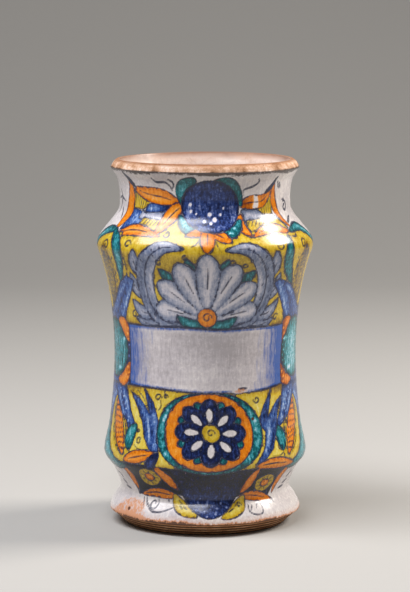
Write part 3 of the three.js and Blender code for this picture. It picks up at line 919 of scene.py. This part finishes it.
def paintedGlaze():
    material, add = newMaterial("tin_glaze_painted")
    look = glazeLook
    place = add("TexCoord", output=3)
    height = add("SeparateXYZ", {0: place}, 2)
    noises = {}
    for name, detail, roughness in [("waver", 2.0, 0.5), ("tremor", 1.0, 0.5), ("mottle", 4.0, 0.7),
                                    ("cloud", 3.0, 0.5), ("orangePeel", 2.0, 0.5)]:
        noises[name] = add("TexNoise", {"Vector": place, "Scale": patternScale(look[name]), "Detail": detail,
                                        "Roughness": roughness})
    waver, tremor, mottle, cloud, peel = noises.values()
    shift = add("Math", {0: waver, 1: look["waverDepth"], 2: -look["waverDepth"] / 2},
                operation="MULTIPLY_ADD")
    shift = add("Math", {0: tremor, 1: look["tremorDepth"], 2: shift}, operation="MULTIPLY_ADD")
    shift = add("Math", {0: shift, 1: look["tremorDepth"] / 2}, operation="SUBTRACT")
    # Brush streaks run up and down the jar
    stretched = add("Mapping", {"Vector": place, "Scale": (1, 1, 0.16)})
    streaks = add("TexNoise", {"Vector": stretched, "Scale": patternScale(look["streakWidth"]),
                               "Detail": 3.0, "Roughness": 0.65})
    tone = add("Attribute", output=2, attribute_name="tone")
    brushwork = add("Math", {0: streaks, 1: mottle}, operation="ADD")
    brushwork = add("Math", {0: brushwork, 1: 0.75, 2: -0.75}, operation="MULTIPLY_ADD")
    ragged = add("Math", {0: mottle, 1: cloud}, operation="ADD")
    ragged = add("Math", {0: ragged, 1: look["raggedness"] * mm, 2: height}, operation="MULTIPLY_ADD")
    marks = {}
    for name in ("labelShadeFrom", "labelShadeTo", "footBlush", "footEdge", "lipLine", "crumbs"):
        start, full, strength = look[name]
        value = height if name.startswith("label") else ragged
        marks[name] = add("MapRange", {"Value": value, 1: start * mm, 2: full * mm, 4: strength})

    # White ground, greyed by painted shade over the label band, with a blue wash where the tone goes below
    # zero
    ground = add("Math", {0: cloud, 1: brushwork}, operation="ADD")
    label = add("Math", {0: marks["labelShadeFrom"], 1: marks["labelShadeTo"]}, operation="MULTIPLY")
    ground = add("Math", {0: ground, 1: label}, operation="SUBTRACT")
    colour = add("ValToRGB", {"Fac": ground}, stops=look["whites"])
    wash = add("Math", {0: streaks, 1: 1.8, 2: -0.9}, operation="MULTIPLY_ADD")
    wash = add("Math", {0: tone, 1: -1.0, 2: wash}, operation="MULTIPLY_ADD", use_clamp=True)
    washed = add("Math", {0: tone, 1: -0.05}, operation="LESS_THAN")
    wash = add("Math", {0: wash, 1: washed}, operation="MULTIPLY")
    colour = add("Mix", {0: wash, 6: colour, 7: linear(look["washBlue"])}, 2, data_type="RGBA")

    # Pigments, each from its distance to its own edge
    nearest = None
    for name, (unevenness, stops) in look["pigments"].items():
        distance = add("Math", {0: add("Attribute", output=2, attribute_name=name), 1: shift},
                       operation="ADD")
        cover = add("MapRange", {"Value": distance, 1: look["edgeSoftness"], 2: -look["edgeSoftness"]})
        depth = add("MapRange", {"Value": distance, 1: 0.0, 2: -look["thickEdge"], 3: 0.3, 4: 0.5})
        depth = add("Math", {0: tone, 1: 0.45, 2: depth}, operation="MULTIPLY_ADD")
        depth = add("Math", {0: brushwork, 1: unevenness, 2: depth}, operation="MULTIPLY_ADD")
        tint = add("ValToRGB", {"Fac": depth}, stops=stops)
        colour = add("Mix", {0: cover, 6: colour, 7: tint}, 2, data_type="RGBA")
        away = add("Math", {0: distance}, operation="ABSOLUTE")
        nearest = away if nearest is None else add("Math", {0: nearest, 1: away}, operation="MINIMUM")
    heightened = add("MapRange", {"Value": tone, 1: 1.0, 2: 1.5})
    colour = add("Mix", {0: heightened, 6: colour, 7: linear(look["heightening"])}, 2, data_type="RGBA")

    # Outlines along every edge, and what the thin brush drew, denser and paler by turns
    width = add("Math", {0: waver, 1: look["outlineSwell"], 2: look["outline"] - look["outlineSwell"] / 2},
                operation="MULTIPLY_ADD")
    outline = add("Math", {0: nearest, 1: width}, operation="SUBTRACT")
    drawn = add("Attribute", output=2, attribute_name="ink")
    drawn = add("Math", {0: shift, 1: 0.15, 2: drawn}, operation="MULTIPLY_ADD")
    outline = add("Math", {0: outline, 1: drawn}, operation="MINIMUM")
    outline = add("MapRange", {"Value": outline, 1: look["outlineSoftness"], 2: -look["outlineSoftness"],
                               4: 0.95})
    density = add("MapRange", {"Value": mottle, 1: 0.3, 2: 0.55, 3: 0.6})
    outline = add("Math", {0: outline, 1: density}, operation="MULTIPLY")
    colour = add("Mix", {0: outline, 6: colour, 7: linear(look["ink"])}, 2, data_type="RGBA")

    # Thin, clay-stained glaze above the foot, dark crumbs at its edge and under the lip, and small pits
    foot = add("Math", {0: marks["footBlush"], 1: marks["footEdge"]}, operation="ADD")
    rubbed = add("Attribute", output=2, attribute_name="rubbed")
    rubbed = add("Math", {0: brushwork, 1: 2.5, 2: rubbed}, operation="MULTIPLY_ADD")
    rubbed = add("MapRange", {"Value": rubbed, 1: 0.5, 2: 1.0, 4: 0.85})
    worn = add("Math", {0: foot, 1: rubbed}, operation="MAXIMUM")
    colour = add("Mix", {0: worn, 6: colour, 7: linear(look["clayStain"])}, 2, data_type="RGBA")
    darkening = add("Math", {0: marks["lipLine"], 1: marks["crumbs"]}, operation="MAXIMUM")
    colour = add("Mix", {0: darkening, 6: colour, 7: linear(look["darkEdges"])}, 2, data_type="RGBA")
    cells = add("TexVoronoi", {"Vector": place, "Scale": patternScale(look["pitSpacing"])}).node
    chosen = add("SeparateColor", {0: cells.outputs["Color"]})
    size = add("MapRange", {"Value": chosen, 1: 0.5, 2: 1.0, 4: 0.085})
    pit = add("Math", {0: mottle, 1: 0.05, 2: cells.outputs["Distance"]}, operation="MULTIPLY_ADD")
    pit = add("Math", {0: pit, 1: 0.025}, operation="SUBTRACT")
    pit = add("Math", {0: pit, 1: size}, operation="LESS_THAN")
    colour = add("Mix", {0: pit, 6: colour, 7: linear(look["pit"])}, 2, data_type="RGBA")

    relief = add("Math", {0: pit, 1: -1.5, 2: peel}, operation="MULTIPLY_ADD")
    bump = add("Bump", {"Strength": 0.35, "Distance": look["ripple"] * mm, "Height": relief})
    rough = add("MapRange", {"Value": mottle, 1: 0.3, 2: 0.7, 3: 0.15, 4: 0.3})
    rough = add("Math", {0: worn, 1: 0.5, 2: rough}, operation="MULTIPLY_ADD")
    add("OutputMaterial", {"Surface": add("BsdfPrincipled", {
        "Base Color": colour, "Roughness": rough, "IOR": 1.45, "Specular IOR Level": 0.7, "Normal": bump})})
    return material


# Bare earthenware: thrown, turned at the foot and left unglazed. Warm buff pink with fine grit and dark
# specks, darker at the foot than at the lip, and without a shine.
clayLook = {
    "body": [(0.25, "#8f6243"), (0.5, "#b98762"), (0.75, "#d3a888")],
    "rim": [(0.32, "#8d603e"), (0.46, "#bc8f6e"), (0.58, "#d9b49a"), (0.72, "#efdbcd")],
    "crest": "#7d4e2c",
    "foot": [(0.25, "#70472d"), (0.5, "#ad7a52"), (0.75, "#dcae86")],
    "darkening": "#2c1a12",
    "patch": 9.0, "grit": 0.7, "speckSpacing": 3.0, "turningPitch": 1.6,  # mm
    "gritDepth": 0.12, "raggedness": 3.0,  # mm, depth of the grit and reach of the ragged dirt lines
    "firstGroove": 2.31, "groovePitch": 2.14,  # mm, heights on the foot band
    # Bands that grow with the height: mm where they start, mm where they are full, and their strength
    "rimBand": (235.0, 242.0, 1.0), "footBand": (14.0, 9.0, 1.0),
    "crestLine": (250.0, 251.4, 0.8), "underLip": (247.2, 246.3, 0.9),
}


def bareClay():
    material, add = newMaterial("earthenware_bare")
    look = clayLook
    place = add("TexCoord", output=3)
    height = add("SeparateXYZ", {0: place}, 2)
    patches = add("TexNoise", {"Vector": place, "Scale": patternScale(look["patch"]), "Detail": 6.0,
                               "Roughness": 0.65})
    grit = add("TexNoise", {"Vector": place, "Scale": patternScale(look["grit"]), "Detail": 2.0})
    flat = add("Mapping", {"Vector": place, "Scale": (0.15, 0.15, 1)})
    rings = add("TexNoise", {"Vector": flat, "Scale": patternScale(look["turningPitch"]), "Detail": 2.0})
    blend = add("Math", {0: grit, 1: 0.3, 2: patches}, operation="MULTIPLY_ADD")
    blend = add("Math", {0: rings, 1: 0.2, 2: blend}, operation="MULTIPLY_ADD")
    blend = add("Math", {0: blend, 1: 0.25}, operation="SUBTRACT")
    body, rim, foot = (add("ValToRGB", {"Fac": blend}, stops=look[name]) for name in ("body", "rim",
                                                                                      "foot"))
    ragged = add("Math", {0: patches, 1: look["raggedness"] * mm, 2: height}, operation="MULTIPLY_ADD")
    bands = []
    for value, name in [(height, "rimBand"), (height, "footBand"), (ragged, "crestLine"),
                        (ragged, "underLip")]:
        start, full, strength = look[name]
        bands.append(add("MapRange", {"Value": value, 1: start * mm, 2: full * mm, 4: strength}))
    upper, lower, crest, underLip = bands
    rim = add("Mix", {0: crest, 6: rim, 7: linear(look["crest"])}, 2, data_type="RGBA")
    colour = add("Mix", {0: upper, 6: body, 7: rim}, 2, data_type="RGBA")
    colour = add("Mix", {0: lower, 6: colour, 7: foot}, 2, data_type="RGBA")
    # Darker: a line below the bare lip, painted shade in the turned grooves of the foot, and loose dark
    # specks
    underLip = add("Math", {0: underLip, 1: upper}, operation="MULTIPLY")
    turn = 2 * math.pi / (look["groovePitch"] * mm)
    groove = add("Math", {0: height, 1: turn, 2: math.pi / 2 - turn * look["firstGroove"] * mm},
                 operation="MULTIPLY_ADD")
    groove = add("Math", {0: patches, 1: 2.0, 2: add("Math", {0: groove}, operation="SINE")},
                 operation="MULTIPLY_ADD")
    groove = add("MapRange", {"Value": groove, 1: 0.8, 2: 1.6, 4: 0.92})
    groove = add("Math", {0: groove, 1: lower}, operation="MULTIPLY")
    cells = add("TexVoronoi", {"Vector": place, "Scale": patternScale(look["speckSpacing"])}).node
    chosen = add("SeparateColor", {0: cells.outputs["Color"]})
    size = add("MapRange", {"Value": chosen, 1: 0.6, 2: 1.0, 4: 0.2})
    speck = add("Math", {0: cells.outputs["Distance"], 1: size}, operation="LESS_THAN")
    speck = add("Math", {0: speck, 1: 0.7}, operation="MULTIPLY")
    darkening = add("Math", {0: speck, 1: underLip}, operation="MAXIMUM")
    darkening = add("Math", {0: darkening, 1: groove}, operation="MAXIMUM")
    colour = add("Mix", {0: darkening, 6: colour, 7: linear(look["darkening"])}, 2, data_type="RGBA")
    relief = add("Math", {0: grit, 1: 0.5, 2: rings}, operation="MULTIPLY_ADD")
    relief = add("Math", {0: speck, 1: -0.6, 2: relief}, operation="MULTIPLY_ADD")
    bump = add("Bump", {"Strength": 0.4, "Distance": look["gritDepth"] * mm, "Height": relief})
    rough = add("MapRange", {"Value": patches, 1: 0.3, 2: 0.7, 3: 0.72, 4: 0.92})
    add("OutputMaterial", {"Surface": add("BsdfPrincipled", {
        "Base Color": colour, "Roughness": rough, "IOR": 1.45, "Specular IOR Level": 0.3, "Normal": bump})})
    return material


# Plain lining glaze: thin and pinkish, so the clay warms it, with throwing rings and stains under it
liningLook = {
    "glaze": [(0.25, "#c7a48e"), (0.5, "#e0c9bb"), (0.75, "#efe2d8")],
    "stain": "#8a5c40",
    "cloud": 18.0, "ringPitch": 5.5, "ringDepth": 0.6, "crazing": 7.0,  # mm
    # The stained edge: mm of ragged height where it starts and where it is full, and its strength
    "edge": (250.5, 254.5, 0.8), "raggedness": 10.0,
}


def liningGlaze():
    material, add = newMaterial("tin_glaze_plain")
    look = liningLook
    place = add("TexCoord", output=3)
    height = add("SeparateXYZ", {0: place}, 2)
    cloud = add("TexNoise", {"Vector": place, "Scale": patternScale(look["cloud"]), "Detail": 6.0,
                             "Roughness": 0.6})
    flat = add("Mapping", {"Vector": place, "Scale": (0.12, 0.12, 1)})
    rings = add("TexNoise", {"Vector": flat, "Scale": patternScale(look["ringPitch"]), "Detail": 2.0})
    blend = add("Math", {0: rings, 1: 0.5, 2: cloud}, operation="MULTIPLY_ADD")
    blend = add("Math", {0: blend, 1: 0.25}, operation="SUBTRACT")
    colour = add("ValToRGB", {"Fac": blend}, stops=look["glaze"])
    crazing = add("TexVoronoi", {"Vector": place, "Scale": patternScale(look["crazing"])},
                  feature="DISTANCE_TO_EDGE")
    crazing = add("MapRange", {"Value": crazing, 1: 0.03, 2: 0.0, 4: 0.22})
    edge = add("Math", {0: cloud, 1: look["raggedness"] * mm, 2: height}, operation="MULTIPLY_ADD")
    start, full, strength = look["edge"]
    edge = add("MapRange", {"Value": edge, 1: start * mm, 2: full * mm, 4: strength})
    stain = add("Math", {0: crazing, 1: edge}, operation="MAXIMUM")
    colour = add("Mix", {0: stain, 6: colour, 7: linear(look["stain"])}, 2, data_type="RGBA")
    bump = add("Bump", {"Strength": 0.5, "Distance": look["ringDepth"] * mm, "Height": rings})
    rough = add("MapRange", {"Value": cloud, 1: 0.3, 2: 0.7, 3: 0.25, 4: 0.45})
    add("OutputMaterial", {"Surface": add("BsdfPrincipled", {
        "Base Color": colour, "Roughness": rough, "IOR": 1.5, "Normal": bump})})
    return material


# The painted coat, its columns finer in front, where the painting is
def paintedCoat():
    outline, closed = turnedOutline("outer_glaze")
    widest = outline[:, 0].max()
    outline = finerOutline(outline, closed,
                           lambda part: potting["paintedRow"] if part[:, 0].max() == widest else None)
    front = math.radians(potting["frontHalf"])
    radius = potting["painterRadius"]
    columns = [(math.ceil(2 * front * radius / potting["frontColumn"]), 2 * front),
               (math.ceil(2 * (math.pi - front) * radius / potting["backColumn"]), 2 * (math.pi - front))]
    coat = spinPiece("painted_coat", outline, closed, -front, columns)
    layOut(coat, outline, closed, lambda a, b: 1.0 if b[1] > a[1] else 0.1)
    places = coordinates(coat) / mm
    arc = np.arctan2(places[:, 0], -places[:, 1]) * radius
    for name, values in paintJar(arc, places[:, 2]).items():
        coat.data.attributes.new(name, "FLOAT", "POINT").data.foreach_set("value", values)
    finishPiece(coat, "outer_glaze", paintedGlaze())


def clayPot():
    outline, closed = turnedOutline("earthenware_body")
    lip, foot = jarHeight - potting["bareLip"], potting["bareFoot"]

    # Whether a stretch with these heights lies where the clay is seen
    def bare(heights):
        return min(heights) > lip or max(heights) < foot

    outline = finerOutline(outline, closed,
                           lambda part: potting["bareRow" if bare(part[:, 1]) else "hiddenRow"])
    pot = spinPiece("clay_pot", outline, closed, -math.pi, [(potting["plainColumns"], 2 * math.pi)])
    layOut(pot, outline, closed, lambda a, b: 4.0 if bare((a[1], b[1])) else 1.0)
    finishPiece(pot, "earthenware_body", bareClay())


def liningCoat():
    outline, closed = turnedOutline("inner_glaze")
    outline = finerOutline(outline, closed, lambda part: potting["hiddenRow"])
    lining = spinPiece("lining_coat", outline, closed, -math.pi, [(potting["plainColumns"], 2 * math.pi)])
    layOut(lining, outline, closed, lambda a, b: 1.0)
    finishPiece(lining, "inner_glaze", liningGlaze())


paintedCoat()
clayPot()
liningCoat()
print("jar finished")
